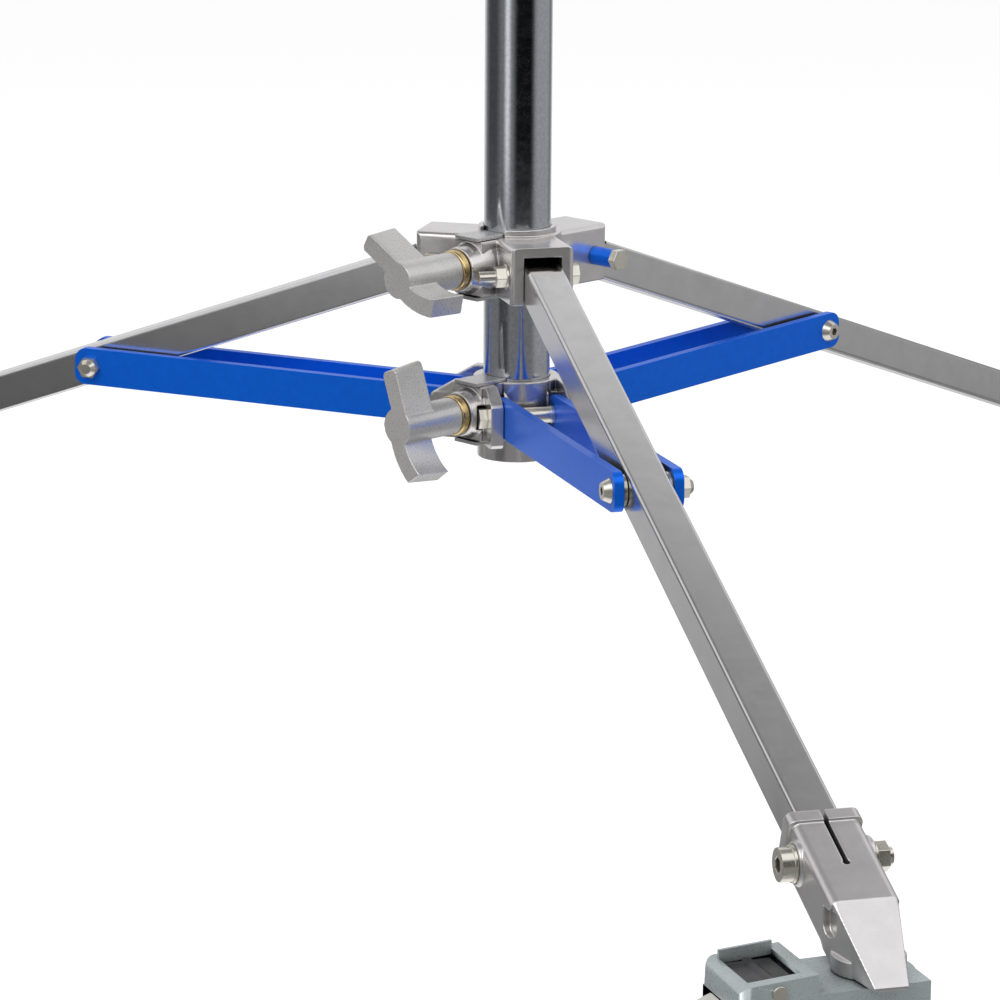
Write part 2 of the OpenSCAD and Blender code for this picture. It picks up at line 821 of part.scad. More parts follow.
module foot_casting(k) {
    room = leg_side + 2 * fit;
    slit = [-foot_slit_w / 2, foot_slit_w / 2];
    color("silver") difference() {
        union() {
            on_leg(k) {
                push_x(foot_s + cut, foot_end) foot_section(0);
                push_x(foot_s, foot_s + foot_rim_l) foot_section(foot_rim_h);
                translate([foot_s + foot_bolt_s, 0, foot_bolt_u])
                    across(foot_boss_d, -foot_half - foot_boss_h, foot_half + foot_boss_h);
            }
            on_third(k) {
                nose();
                translate([swivel_r, 0, socket_z]) cylinder(d = socket_d, h = socket_h);
            }
        }
        on_leg(k) {
            push_x(foot_s - cut, leg_length + apart) round_rect(room, room, leg_corner);
            block([foot_s - cut, foot_s + foot_slit_l], slit, [leg_half - cut, 2 * foot_top]);
            translate([foot_s + foot_slit_l, 0, leg_half - cut])
                cylinder(d = slit_end_d, h = foot_top, $fn = 24);
            translate([foot_s + foot_bolt_s, 0, foot_bolt_u])
                across(foot_bolt_d + 2 * fit, -2 * foot_half, 2 * foot_half, 40);
        }
        on_third(k) {
            side_pockets();
            translate([swivel_r, 0, socket_z - cut])
                cylinder(d = stem_d + 2 * seat, h = stem_h + cut, $fn = 40);
        }
    }
}

// Braces: two flat bars joined by a sleeve, open at the leg between two short bolts.
module brace_bars(k) {
    color("royalblue") on_brace(k) for (side = [-1, 1]) {
        y = [bar_in, bar_out] * side;
        difference() {
            push_y(min(y), max(y)) translate([brace_length / 2, 0])
                round_rect(brace_length + 2 * bar_overhang, bar_w, bar_corner);
            across(bolt_d + 2 * running, -ear_out, ear_out, 40);
            translate([brace_length, 0, 0]) across(bolt_d + 2 * fit, -ear_out, ear_out, 40);
        }
    }
}

module brace_fittings(k) {
    inner = leg_half + apart;
    head_y = bar_out + seat;
    color("gainsboro") on_brace(k) {
        difference() {
            union() {
                across(bar_sleeve_d, -bar_in + seat, bar_in - seat, 40);
                for (side = [-1, 1]) {
                    y = [bar_in - washer_t, bar_in - seat] * side;
                    across(bar_sleeve_d + 1, min(y), max(y), 40);
                }
            }
            across(bolt_d + 2 * running, -bar_in, bar_in, 40);
        }
        translate([brace_length, 0, 0]) {
            across(bolt_d, -head_y - 1, -inner, 40);
            across(bolt_d, inner, head_y + 1, 40);
            for (side = [-1, 1]) {
                y = [inner, bar_in - seat] * side;
                across(washer_d, min(y), max(y), 40);
            }
            difference() {
                translate([0, -head_y, 0]) rotate([90, 0, 0]) cylinder(d1 = 16, d2 = 11, h = 5, $fn = 40);
                hex_across(5, -head_y - 6, -head_y - 2);
            }
            hex_across(nut_flats, head_y, head_y + 5.5);
            translate([0, head_y + 5.5, 0]) rotate([-90, 0, 0]) cylinder(d1 = 12, d2 = 7, h = 3, $fn = 40);
        }
    }
}

// Casters: x is the trail from the swivel to the axle.
module caster_stem(k) {
    nut_z = crown_z - apart - 5;
    color("lightgray") on_third(k) translate([swivel_r, 0, 0]) {
        translate([0, 0, nut_z]) cylinder(d = stem_d, h = socket_z + stem_h - cut - nut_z, $fn = 40);
        translate([0, 0, nut_z]) cylinder(d = 24, h = 5, $fn = 40);
    }
}

module fork_plate_side() {
    polygon([
        [fork_back, caster_h], [fork_back, crown_z - 8], [caster_trail - fork_boss_d / 2, wheel_r - 4],
        [caster_trail + fork_boss_d / 2, wheel_r + 2], [fork_end, wheel_r + 52], [fork_end, hood_z],
        [fork_step, hood_z], [fork_step, caster_h]
    ]);
    translate([caster_trail, wheel_r]) circle(d = fork_boss_d);
}

module caster_fork(k) {
    wide = [-fork_out, fork_out];
    hole = [-hood_hole_w / 2, hood_hole_w / 2];
    hole_x = [hood_hole_x, hood_hole_x + hood_hole_l];
    color("lightsteelblue") on_caster(k) difference() {
        union() {
            translate([0, 0, crown_z]) cylinder(d = crown_d, h = crown_h);
            for (side = [-1, 1]) {
                y = [fork_in, fork_out] * side;
                push_y(min(y), max(y)) fork_plate_side();
            }
            block([fork_back, fork_step + fork_t], wide, [caster_h - fork_t, caster_h]);
            block([fork_step, fork_step + fork_t], wide, [caster_h - fork_t, hood_z]);
            block([fork_step, fork_end], wide, [hood_z - fork_t, hood_z]);
            block([fork_end - fork_t, fork_end], wide, [caster_h - fork_t, hood_z]);
            block(hole_x, [hole[0] - hood_tab_t, hole[0]], [hood_z - cut, hood_z + hood_tab_h]);
        }
        block(hole_x, hole, [hood_z - 2 * fork_t, hood_z + 2 * fork_t]);
        translate([0, 0, crown_z - cut])
            cylinder(d = stem_d + 2 * running, h = crown_h + 2 * cut, $fn = 40);
        translate([caster_trail, 0, wheel_r]) across(axle_d + 2 * fit, -2 * fork_out, 2 * fork_out, 40);
        translate([pedal_x, 0, pedal_z]) across(pedal_pin_d + 2 * fit, -2 * fork_out, 2 * fork_out, 40);
    }
}

module caster_axle(k) {
    color("gainsboro") on_caster(k) {
        translate([caster_trail, 0, wheel_r]) {
            across(axle_d, -fork_out - 8, fork_out + 8, 40);
            hex_across(16, -fork_out - 6, -fork_out - seat);
            hex_across(16, fork_out + seat, fork_out + 7);
        }
        translate([pedal_x, 0, pedal_z]) {
            across(pedal_pin_d, -fork_out - 1, fork_out + 1, 40);
            across(pedal_pin_d + 3, -fork_out - 2, -fork_out - seat, 40);
            across(pedal_pin_d + 3, fork_out + seat, fork_out + 2, 40);
        }
    }
}

module caster_pedal(k) {
    half = pedal_w / 2;
    color("dimgray") on_caster(k) translate([pedal_x, 0, pedal_z]) difference() {
        union() {
            across(pedal_barrel_d, -half, half, 40);
            block([-pedal_l / 2, pedal_l / 2], [-half, half], [0, pedal_t]);
        }
        across(pedal_pin_d + 2 * running, -half - cut, half + cut, 40);
    }
}

module on_axle(k) {
    on_caster(k) translate([caster_trail, 0, wheel_r]) rotate([90, 0, 0]) children();
}

module wheel_tyre(k) {
    color("beige") on_axle(k) rotate_extrude($fn = 96) {
        inner = hub_r + seat;
        tread = wheel_r - tyre_round;
        translate([inner, -tyre_w / 2 + 2]) square([tread - inner, tyre_w - 4]);
        translate([inner, -tyre_w / 2 + tyre_round]) square([wheel_r - inner, tyre_w - 2 * tyre_round]);
        for (side = [-1, 1]) intersection() {
            translate([tread, side * (tyre_w / 2 - tyre_round)]) circle(tyre_round);
            translate([inner, -tyre_w / 2 + 2]) square([wheel_r, tyre_w - 4]);
        }
    }
}

module wheel_hub(k) {
    rim_t = 5;
    boss_half = fork_in - apart;
    hole_r = axle_d / 2 + running;
    rib_z = [3 - hub_rim_w / 2, hub_rim_w / 2 - 3];
    color("whitesmoke") on_axle(k) difference() {
        union() {
            rotate_extrude($fn = 96) {
                translate([hub_r - rim_t, -hub_rim_w / 2]) square([rim_t, hub_rim_w]);
                translate([hub_boss_r - 1, -hub_web_w / 2]) square([hub_r - hub_boss_r, hub_web_w]);
                translate([hole_r, -boss_half]) square([hub_boss_r - hole_r, 2 * boss_half]);
            }
            for (i = [0:hub_ribs - 1]) rotate([0, 0, i * 360 / hub_ribs])
                block([hub_boss_r - 1, hub_r - rim_t + 1], [-hub_rib_t / 2, hub_rib_t / 2], rib_z);
        }
        translate([0, 0, -fork_out]) cylinder(r = hole_r, h = 2 * fork_out);
    }
}

// One module for each piece of the three legs.
module leg_a_tube() {
    leg_tube(0);
}

module leg_a_fittings() {
    leg_fittings(0);
}

module foot_a_casting() {
    foot_casting(0);
}

module caster_a_stem() {
    caster_stem(0);
}

module brace_a_bars() {
    brace_bars(0);
}

module brace_a_fittings() {
    brace_fittings(0);
}

module caster_a_fork() {
    caster_fork(0);
}

module caster_a_axle() {
    caster_axle(0);
}

module wheel_a_tyre() {
    wheel_tyre(0);
}

module wheel_a_hub() {
    wheel_hub(0);
}

module caster_a_pedal() {
    caster_pedal(0);
}

module leg_b_tube() {
    leg_tube(1);
}

module leg_b_fittings() {
    leg_fittings(1);
}

module foot_b_casting() {
    foot_casting(1);
}

module caster_b_stem() {
    caster_stem(1);
}

module brace_b_bars() {
    brace_bars(1);
}

module brace_b_fittings() {
    brace_fittings(1);
}

module caster_b_fork() {
    caster_fork(1);
}

module caster_b_axle() {
    caster_axle(1);
}

module wheel_b_tyre() {
    wheel_tyre(1);
}

module wheel_b_hub() {
    wheel_hub(1);
}

module caster_b_pedal() {
    caster_pedal(1);
}

module leg_c_tube() {
    leg_tube(2);
}

module leg_c_fittings() {
    leg_fittings(2);
}

module foot_c_casting() {
    foot_casting(2);
}

module caster_c_stem() {
    caster_stem(2);
}

module brace_c_bars() {
    brace_bars(2);
}

module brace_c_fittings() {
    brace_fittings(2);
}

module caster_c_fork() {
    caster_fork(2);
}

module caster_c_axle() {
    caster_axle(2);
}

module wheel_c_tyre() {
    wheel_tyre(2);
}

module wheel_c_hub() {
    wheel_hub(2);
}

module caster_c_pedal() {
    caster_pedal(2);
}

brace_collar();
brace_collar_shoe();
brace_pivot_bolts();
brace_t_handle();
brace_handle_screw();
leg_collar();
leg_collar_shoe();
leg_pivot_bolts();
pivot_spacer();
leg_t_handle();
leg_handle_screw();
column_tube();
column_foot_plug();
column_head();
column_t_handle();
column_handle_screw();
riser_1_tube();
riser_1_plug();
riser_1_head();
riser_1_t_handle();
riser_1_handle_screw();
riser_2_tube();
riser_2_plug();
receiver();
receiver_t_handle();
receiver_handle_screw();
leg_a_tube();
leg_a_fittings();
foot_a_casting();
caster_a_stem();
brace_a_bars();
brace_a_fittings();
caster_a_fork();
caster_a_axle();
wheel_a_tyre();
wheel_a_hub();
caster_a_pedal();
leg_b_tube();
leg_b_fittings();
foot_b_casting();
caster_b_stem();
brace_b_bars();
brace_b_fittings();
caster_b_fork();
caster_b_axle();
wheel_b_tyre();
wheel_b_hub();
caster_b_pedal();
leg_c_tube();
leg_c_fittings();
foot_c_casting();
caster_c_stem();
brace_c_bars();
brace_c_fittings();
caster_c_fork();
caster_c_axle();
wheel_c_tyre();
wheel_c_hub();
caster_c_pedal();
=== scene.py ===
import bmesh
import bpy
import json
import math
from mathutils import Matrix, Vector


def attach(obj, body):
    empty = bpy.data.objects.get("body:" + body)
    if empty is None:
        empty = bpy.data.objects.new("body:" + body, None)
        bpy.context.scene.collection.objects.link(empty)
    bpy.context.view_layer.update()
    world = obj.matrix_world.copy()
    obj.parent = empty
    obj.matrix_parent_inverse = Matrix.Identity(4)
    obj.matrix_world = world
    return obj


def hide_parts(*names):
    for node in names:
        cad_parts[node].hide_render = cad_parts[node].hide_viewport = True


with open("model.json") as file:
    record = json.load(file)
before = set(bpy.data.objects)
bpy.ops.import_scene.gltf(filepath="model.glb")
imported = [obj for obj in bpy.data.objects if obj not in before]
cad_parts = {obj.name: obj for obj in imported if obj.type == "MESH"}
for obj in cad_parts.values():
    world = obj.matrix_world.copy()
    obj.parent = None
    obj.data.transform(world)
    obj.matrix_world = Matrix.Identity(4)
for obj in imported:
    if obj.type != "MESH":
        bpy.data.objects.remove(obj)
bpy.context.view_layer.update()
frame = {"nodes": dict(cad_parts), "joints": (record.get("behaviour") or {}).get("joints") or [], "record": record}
nodes = frame["nodes"]
joints = {joint["name"]: joint for joint in frame["joints"]}
MM = 0.001

# Camera, at the photograph's angle: its place in metres, angles in degrees, lens and sensor in millimetres
CAMERA_AT = (-0.7113, -2.6155, 0.9072)
CAMERA_TURN = 14.991
CAMERA_DOWN = 13.937
CAMERA_ROLL = 0.348
CAMERA_LENS = 147.65
SENSOR = 36.0
CLIP = (0.05, 50)


def put(name, data):
    """A new object in the scene."""
    obj = bpy.data.objects.new(name, data)
    bpy.context.scene.collection.objects.link(obj)
    return obj


def make_camera():
    data = bpy.data.cameras.new("camera")
    data.sensor_width = SENSOR
    data.lens = CAMERA_LENS
    data.clip_start, data.clip_end = CLIP
    cam = put("camera", data)
    turn, down = math.radians(CAMERA_TURN), math.radians(CAMERA_DOWN)
    look = Vector((math.sin(turn) * math.cos(down), math.cos(turn) * math.cos(down), -math.sin(down)))
    aim = look.to_track_quat("-Z", "Y").to_matrix().to_4x4()
    roll = Matrix.Rotation(math.radians(CAMERA_ROLL), 4, "Z")
    cam.matrix_world = Matrix.Translation(CAMERA_AT) @ aim @ roll
    bpy.context.scene.camera = cam


make_camera()
bpy.context.scene.view_settings.view_transform = "Standard"


# Painted shade in slots and hollows: how far away walls darken a hollow, in metres, the open shares between which
# it goes dark, and the painted shade's colour
PAINTED_SHADE_REACH = 0.03
PAINTED_SHADE_BAND = (0.08, 0.62)
PAINTED_SHADE_COLOUR = (0.01, 0.01, 0.01)


class Shader:
    """A Principled material whose nodes are added one by one."""

    def __init__(self, name):
        self.name = name
        self.material = bpy.data.materials.new(name)
        self.material.use_nodes = True
        self.tree = self.material.node_tree
        self.bsdf = self.tree.nodes["Principled BSDF"]

    def node(self, kind, **inputs):
        made = self.tree.nodes.new(kind)
        for key, value in inputs.items():
            made.inputs[key.replace("_", " ")].default_value = value
        return made

    def link(self, out, into):
        self.tree.links.new(out, into)

    def place(self, stretch=(1, 1, 1)):
        coords = self.node("ShaderNodeTexCoord")
        mapping = self.node("ShaderNodeMapping")
        mapping.inputs["Scale"].default_value = stretch
        self.link(coords.outputs["Object"], mapping.inputs["Vector"])
        return mapping.outputs["Vector"]

    def noise(self, scale, detail=3.0, rough=0.6, stretch=(1, 1, 1)):
        made = self.node("ShaderNodeTexNoise", Scale=scale, Detail=detail, Roughness=rough)
        self.link(self.place(stretch), made.inputs["Vector"])
        return made.outputs["Fac"]

    def specks(self, scale):
        """The distance from scattered points."""
        made = self.node("ShaderNodeTexVoronoi", Scale=scale)
        self.link(self.place(), made.inputs["Vector"])
        return made.outputs["Distance"]

    def band(self, value, low, high, to_low, to_high):
        made = self.node("ShaderNodeMapRange")
        self.link(value, made.inputs["Value"])
        for key, number in zip(("From Min", "From Max", "To Min", "To Max"), (low, high, to_low, to_high)):
            made.inputs[key].default_value = number
        return made.outputs["Result"]

    def math(self, kind, a, b):
        made = self.tree.nodes.new("ShaderNodeMath")
        made.operation = kind
        for i, value in enumerate((a, b)):
            if isinstance(value, (int, float)):
                made.inputs[i].default_value = value
            else:
                self.link(value, made.inputs[i])
        return made.outputs[0]

    def mix(self, factor, a, b):
        made = self.tree.nodes.new("ShaderNodeMix")
        made.data_type = "RGBA"
        self.link(factor, made.inputs["Factor"])
        for key, colour in (("A", a), ("B", b)):
            socket = [s for s in made.inputs if s.name == key and s.type == "RGBA"][0]
            if isinstance(colour, tuple):
                socket.default_value = (*colour, 1)
            else:
                self.link(colour, socket)
        return [s for s in made.outputs if s.type == "RGBA"][0]

    def shaded(self, colour):
        """The colour with painted shade: darkened inside slots and hollows where no light gets in."""
        made = self.node("ShaderNodeAmbientOcclusion", Distance=PAINTED_SHADE_REACH)
        open_share = self.band(made.outputs["AO"], *PAINTED_SHADE_BAND, 0.0, 1.0)
        return self.mix(open_share, PAINTED_SHADE_COLOUR, colour)

    def bump(self, height, strength, distance):
        made = self.node("ShaderNodeBump", Strength=strength, Distance=distance)
        self.link(height, made.inputs["Height"])
        old = self.bsdf.inputs["Normal"]
        if old.is_linked:
            self.link(old.links[0].from_socket, made.inputs["Normal"])
        self.link(made.outputs["Normal"], old)

    def colour(self, value):
        self.link(value, self.bsdf.inputs["Base Color"])

    def rough(self, value):
        self.link(value, self.bsdf.inputs["Roughness"])

    def set(self, **inputs):
        for key, value in inputs.items():
            self.bsdf.inputs[key.replace("_", " ")].default_value = value


def metal(name, light, dark, rough, spread, grain, depth, stretch=(1, 1, 1), blotch=40.0, mirror=1.0):
    """A worn metal with broad blotches and a fine grain, and painted shade in its hollows. Its roughness varies by
    the spread.
    """
    s = Shader(name)
    s.set(Metallic=mirror)
    broad = s.noise(blotch, 4.0, 0.65)
    fine = s.noise(grain, 4.0, 0.7, stretch)
    both = s.math("MULTIPLY", s.band(broad, 0.3, 0.7, 0.6, 1.0), s.band(fine, 0.3, 0.7, 0.86, 1.0))
    # painted shade: the blotched colour is darkened in hollows by shaded()
    s.colour(s.shaded(s.mix(both, dark, light)))
    s.rough(s.band(fine, 0.3, 0.7, rough - spread, rough + spread))
    s.bump(fine, 0.35, depth)
    return s


def casting(name, light, dark, rough, ripple, mirror):
    """A tumbled casting: satin, with a soft ripple over the fine grain."""
    s = metal(name, light, dark, rough, 0.05, 900.0, 0.00002, blotch=70.0, mirror=mirror)
    s.bump(s.noise(110.0, 2.0, 0.4), 0.3, ripple)
    return s


def paint(name, light, dark, rough):
    """Rubber, plastic or enamel, with a fine grain."""
    s = Shader(name)
    fine = s.noise(900.0, 3.0, 0.6)
    s.colour(s.mix(s.band(s.noise(60.0, 4.0, 0.6), 0.3, 0.7, 0.0, 1.0), dark, light))
    s.rough(s.band(fine, 0.3, 0.7, rough - 0.08, rough + 0.08))
    s.bump(fine, 0.3, 0.00006)
    return s


def chrome(name):
    """Drawn and plated tube: a mirror with faint mottling and rare dark specks."""
    s = Shader(name)
    s.set(Metallic=1.0)
    mottle = s.noise(420.0, 5.0, 0.75)
    specks = s.band(s.specks(260.0), 0.03, 0.1, 0.0, 1.0)
    tone = s.math("MULTIPLY", s.band(mottle, 0.35, 0.65, 0.55, 1.0), specks)
    s.colour(s.mix(tone, (0.4, 0.42, 0.45), (0.72, 0.745, 0.775)))
    s.rough(s.band(s.noise(160.0, 4.0, 0.7), 0.3, 0.7, 0.07, 0.16))
    s.bump(mottle, 0.25, 0.000012)
    return s


def anodised(name):
    """Blue anodising over a fine blasted grain."""
    light, dark = (0.004, 0.17, 0.9), (0.002, 0.12, 0.72)
    s = metal(name, light, dark, 0.42, 0.06, 2600.0, 0.00003, blotch=150.0, mirror=0.6)
    s.set(Coat_Weight=0.2, Coat_Roughness=0.2, Specular_IOR_Level=0.15)
    return s


def make_materials():
    pale_steel, grey_steel = (0.78, 0.77, 0.76), (0.6, 0.59, 0.58)
    pale_shoe, grey_shoe = (0.66, 0.65, 0.64), (0.34, 0.34, 0.34)
    pale_bolt, grey_bolt = (0.82, 0.79, 0.7), (0.54, 0.5, 0.42)
    pale_zinc, grey_zinc = (0.5, 0.56, 0.56), (0.38, 0.43, 0.43)
    pale_brass, brown_brass = (0.86, 0.66, 0.33), (0.5, 0.33, 0.12)
    made = [
        chrome("column_chrome"),
        metal("leg_steel", pale_steel, grey_steel, 0.22, 0.05, 1500.0, 0.00001, blotch=60.0, mirror=0.95),
        metal("brass", pale_brass, brown_brass, 0.22, 0.06, 1200.0, 0.00002),
        metal("shoe_steel", pale_shoe, grey_shoe, 0.3, 0.08, 600.0, 0.00003, stretch=(4, 1, 1), mirror=0.8),
        metal("bolt_steel", pale_bolt, grey_bolt, 0.2, 0.06, 900.0, 0.00002, mirror=0.85),
        metal("caster_zinc", pale_zinc, grey_zinc, 0.3, 0.06, 500.0, 0.00002, mirror=0.5),
        casting("cast_aluminium", (0.8, 0.78, 0.76), (0.6, 0.58, 0.56), 0.2, 0.00025, 0.85),
        casting("handle_aluminium", (0.68, 0.67, 0.65), (0.5, 0.49, 0.47), 0.3, 0.0003, 0.6),
        casting("foot_aluminium", (0.74, 0.72, 0.71), (0.54, 0.53, 0.52), 0.34, 0.0002, 0.85),
        anodised("blue_anodised"),
        paint("guide_plastic", (0.05, 0.05, 0.052), (0.02, 0.02, 0.02), 0.5),
        paint("tyre_rubber", (0.66, 0.65, 0.59), (0.55, 0.54, 0.49), 0.6),
        paint("hub_nylon", (0.74, 0.73, 0.68), (0.6, 0.59, 0.54), 0.42),
        # the pedal's near-black stands partly for painted shade inside the hood's opening, partly for its own dark
        # paint
        paint("pedal_steel", (0.06, 0.06, 0.062), (0.02, 0.02, 0.02), 0.38),
    ]
    return {s.name: s.material for s in made}


materials = make_materials()
slot_of = {part["node"]: part["material_slot"] for part in frame["record"]["subparts"]}
bodies = frame["record"]["behaviour"]["bodies"]
body_of = {node: body for body, held in bodies.items() for node in held}


# Pieces made from the frame's nodes
SAME_PLACE = 0.000002
FLAT_ANGLE = math.radians(0.5)
SHARP_ANGLE = math.radians(50)

# A casting's voxels in millimetres, rounds of smoothing and share of faces kept
CAST_FULL = (0.5, 5, 0.35)


def dress(obj, slot):
    obj.data.materials.clear()
    obj.data.materials.append(materials[slot])
    for face in obj.data.polygons:
        face.material_index = 0


def copy_mesh(node, name):
    """A copy of a node's mesh, with the corners that its faces share made one."""
    data = nodes[node].data.copy()
    data.name = name
    bm = bmesh.new()
    bm.from_mesh(data)
    bmesh.ops.remove_doubles(bm, verts=bm.verts, dist=SAME_PLACE)
    bm.to_mesh(data)
    bm.free()
    return put(name, data)


def settle(obj):
    """Applies the object's modifiers to its mesh."""
    graph = bpy.context.evaluated_depsgraph_get()
    data = bpy.data.meshes.new_from_object(obj.evaluated_get(graph))
    obj.modifiers.clear()
    obj.data = data
    return obj


def stand_for(obj, node):
    """Gives an object the node's material and body, and lets it replace the node."""
    dress(obj, slot_of[node])
    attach(obj, body_of[node])
    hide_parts(node)
    return obj


def soften(obj, voxel, rounds, keep):
    """Unites an object's closed parts, rounds their edges and fills their inner corners."""
    remesh = obj.modifiers.new("remesh", "REMESH")
    remesh.mode = "VOXEL"
    remesh.voxel_size = voxel * MM
    smooth = obj.modifiers.new("smooth", "SMOOTH")
    smooth.factor = 0.5
    smooth.iterations = rounds
    fewer = obj.modifiers.new("fewer", "DECIMATE")
    fewer.ratio = keep
    return settle(obj)


def cast(node, obj):
    """A casting that stands for a node."""
    soften(obj, *CAST_FULL)
    obj.data.shade_smooth()
    return stand_for(obj, node)


def solid(name, outlines, place):
    """A closed mesh from outlines of equal length, in millimetres from the place given."""
    loops = [[place @ Vector(v) * MM for v in outline] for outline in outlines]
    n = len(loops[0])
    verts = [v for loop in loops for v in loop]
    faces = [list(range(n))[::-1], [len(verts) - n + i for i in range(n)]]
    for k in range(len(loops) - 1):
        for i in range(n):
            j = (i + 1) % n
            faces.append([k * n + i, k * n + j, (k + 1) * n + j, (k + 1) * n + i])
    data = bpy.data.meshes.new(name)
    data.from_pydata([v[:] for v in verts], [], faces)
    bm = bmesh.new()
    bm.from_mesh(data)
    bmesh.ops.recalc_face_normals(bm, faces=bm.faces)
    bm.to_mesh(data)
    bm.free()
    return put(name, data)


def join(first, *others):
    """Puts the meshes of other objects into the first one."""
    bm = bmesh.new()
    for obj in (first, *others):
        bm.from_mesh(obj.data)
    bm.to_mesh(first.data)
    bm.free()
    for obj in others:
        bpy.data.objects.remove(obj)
    return first


def arc(centre, radius, start, end, steps=10):
    """Points along an arc, its ends given in degrees."""
    turns = [math.radians(start + (end - start) * i / steps) for i in range(steps + 1)]
    return [(centre[0] + radius * math.cos(u), centre[1] + radius * math.sin(u)) for u in turns]


def edged(node, obj, width=0.5, angle=35):
    """A machined or pressed piece: the node's solid with its edges broken, the width in millimetres."""
    bm = bmesh.new()
    bm.from_mesh(obj.data)
    bmesh.ops.dissolve_limit(bm, angle_limit=FLAT_ANGLE, verts=bm.verts, edges=bm.edges)
    bm.to_mesh(obj.data)
    bm.free()
    bevel = obj.modifiers.new("bevel", "BEVEL")
    bevel.width = width * MM
    bevel.segments = 2
    bevel.limit_method = "ANGLE"
    bevel.angle_limit = math.radians(angle)
    settle(obj)
    obj.data.shade_smooth()
    obj.data.set_sharp_from_angle(angle=SHARP_ANGLE)
    flat = obj.modifiers.new("flat", "WEIGHTED_NORMAL")
    flat.keep_sharp = True
    return stand_for(settle(obj), node)


# Cast T-handles: one straight wing, one bent wing and a hub, in millimetres and degrees
HUB_R = 12.4
HUB_FROM, HUB_DEPTH = 0.1, 49
WING_FROM = 24
WING_TIP = -38.5
WING_LOW, WING_HIGH = -1.5, 11.2
WING_ROUND = 2
WING_MIDDLE = (-5, WING_HIGH)
BEND_AT = (12, 42)
BEND_IN, BEND_OUT = 38.7, 51.3
BEND_ROOT_IN, BEND_ROOT_OUT = -90, -94
BEND_TIP_IN, BEND_TIP_OUT = -53, -58.5
WING_DRAFT = 1.5
HANDLE_TURNS = {"brace": -70, "leg": -29, "column": -50, "riser_1": -20, "receiver": -35}


def wings_at(depth):
    """The outline of both wings at one depth, longer towards the inner face."""
    middle = (WING_FROM + HUB_DEPTH) / 2
    more = WING_DRAFT * (middle - depth) / (HUB_DEPTH - middle)
    grow = math.degrees(more / BEND_OUT)
    outer = arc(BEND_AT, BEND_OUT, BEND_ROOT_OUT, BEND_TIP_OUT + grow)
    inner = arc(BEND_AT, BEND_IN, BEND_TIP_IN + grow, BEND_ROOT_IN)
    tip = WING_TIP - more
    high_corner = [(tip + WING_ROUND, WING_HIGH), (tip, WING_HIGH - WING_ROUND)]
    low_corner = [(tip, WING_LOW + WING_ROUND), (tip + WING_ROUND, WING_LOW)]
    below_hub = [(-HUB_R * 0.9, WING_LOW), (0, -HUB_R * 0.8)]
    outline = high_corner + low_corner + below_hub + outer + inner + [WING_MIDDLE]
    return [(depth, x, y) for x, y in outline]


def make_handle(node):
    turn = joints[node.replace("_t_handle", "_handle_turn")]
    centre = Vector(turn["pos_m"]) / MM
    axis = Vector(turn["axis"])
    base = min((v.co / MM - centre).dot(axis) for v in nodes[node].data.vertices)
    out = Matrix((axis, Vector((-axis.y, axis.x, 0)), (0, 0, 1))).transposed().to_4x4()
    about = Matrix.Rotation(math.radians(HANDLE_TURNS[node.replace("_t_handle", "")]), 4, "X")
    place = Matrix.Translation(centre + axis * base) @ out @ about
    wings = solid(node + "_cast", [wings_at(WING_FROM), wings_at(HUB_DEPTH)], place)
    rim = arc((0, 0), HUB_R, 0, 350, 35)
    hub = solid("hub", [[(depth, x, y) for x, y in rim] for depth in (HUB_FROM, HUB_DEPTH)], place)
    return cast(node, join(wings, hub))


# The inner end of a leg, its top wall cut back with a slope, in millimetres from the hinge
LEG_SLOPE = 19.4
LEG_HALF = 12.7
LEG_WALL = 2
LEG_CUT = 18
CUT_FROM = -30
CUT_DEPTH = 5
CUT_SPARE = 1


def cut_leg(node):
    hinge = joints[node.replace("_tube", "_hinge")]
    axis = Vector(hinge["axis"])
    out = Matrix((Vector((axis.y, -axis.x, 0)), axis, (0, 0, 1))).transposed().to_4x4()
    tilt = Matrix.Rotation(math.radians(LEG_SLOPE), 4, "Y")
    place = Matrix.Translation(Vector(hinge["pos_m"]) / MM) @ out @ tilt
    past = LEG_HALF + CUT_SPARE
    low_edge = [(CUT_FROM, LEG_HALF - CUT_DEPTH), (LEG_CUT, LEG_HALF - LEG_WALL)]
    side = low_edge + [(LEG_CUT, past), (CUT_FROM, past)]
    cutter = solid("cutter", [[(x, y, z) for x, z in side] for y in (-past, past)], place)
    obj = copy_mesh(node, node + "_edged")
    boolean = obj.modifiers.new("cut", "BOOLEAN")
    boolean.object = cutter
    boolean.solver = "EXACT"
    settle(obj)
    bpy.data.objects.remove(cutter)
    return edged(node, obj)


# What the lower collar needs beyond its node: sloping tops on its ears and a whole skirt under the screw
FRONT_TURN = -90
SCREW_TURN = -150
COLUMN_R = 22.9
SKIRT_R = 26.2
SKIRT_Z = (-35, -20.4)
SKIRT_GAP = 34
EAR_IN, EAR_OUT = 22.6, 31
EAR_TOP = [(10, 8), (10, 20.2), (36, 20.2), (50, 12), (50, 8)]


